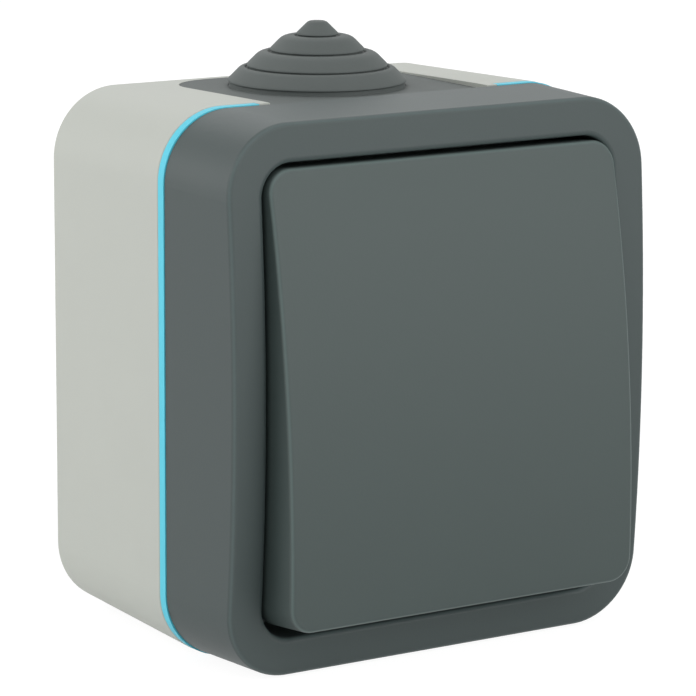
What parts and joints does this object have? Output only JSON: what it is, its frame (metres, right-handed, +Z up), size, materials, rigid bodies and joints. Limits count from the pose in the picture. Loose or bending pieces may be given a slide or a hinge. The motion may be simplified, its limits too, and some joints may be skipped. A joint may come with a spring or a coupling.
{
  "type": "surface-mounted weatherproof rocker switch",
  "caption": "Surface-mounted weatherproof light switch: box with stepped cable entry, sealed tapered cover and a large tilting rocker over a see-saw contact.",
  "frame": {"origin": "centre of the box's back face, on the wall", "axes": "+Y into the wall, +Z up, +X to the right as seen from the front; the rocker faces -Y"},
  "size_m": [0.066, 0.0515, 0.0807],
  "materials": {
    "housing_grey": "fine textured light grey",
    "cover_dark": "fine textured dark grey",
    "rocker_dark": "fine textured dark grey",
    "grommet_rubber": "satin dark rubber",
    "cover_seal": "cyan sealing elastomer",
    "inner_seal": "black sealing elastomer",
    "mechanism_white": "off-white moulded plastic",
    "lever_plastic": "natural moulded plastic",
    "brass": "stamped brass",
    "contact_silver": "silver contact rivet",
    "steel": "zinc-plated steel",
    "spring_steel": "spring wire"
  },
  "bodies": {
    "housing": {"rear_box": "housing_grey", "cable_grommet": "grommet_rubber", "cover_gasket": "cover_seal", "front_cover": "cover_dark", "cover_screws": "steel", "collar_gasket": "inner_seal", "mechanism_plate": "mechanism_white", "mechanism_base": "mechanism_white", "mechanism_screws": "steel", "fixed_contact_tip": "contact_silver", "common_contact": "brass", "switched_contact": "brass", "terminal_clamp_common": "brass", "terminal_clamp_load": "brass", "terminal_screws": "steel", "earth_terminal": "brass", "earth_screw": "steel"},
    "rocker": {"rocker_key": "rocker_dark", "switch_lever": "lever_plastic", "lever_spring": "spring_steel"},
    "plunger": {"plunger": "lever_plastic"},
    "bridge": {"contact_bridge": "brass", "moving_contact_tip": "contact_silver"}
  },
  "joints": [
    {"name": "rocker_tilt", "type": "hinge", "parent": "housing", "child": "rocker", "pos_m": [0, -0.0394, 0], "axis": [1, 0, 0], "range_deg": [0, 11.44]},
    {"name": "bridge_rock", "type": "hinge", "parent": "housing", "child": "bridge", "pos_m": [0, -0.0164, 0], "axis": [1, 0, 0], "range_deg": [-10.05, 0]},
    {"name": "plunger_slide", "type": "slide", "parent": "rocker", "child": "plunger", "axis": [0, -0.995, 0.0997], "range_m": [0, 0.0012], "stiffness_N_per_m": 1500, "springref_m": -0.001, "deforming": ["lever_spring"]}
  ],
  "couplings": [
    {"joint": "bridge_rock", "follows": "rocker_tilt", "ratio": -0.8741}
  ]
}
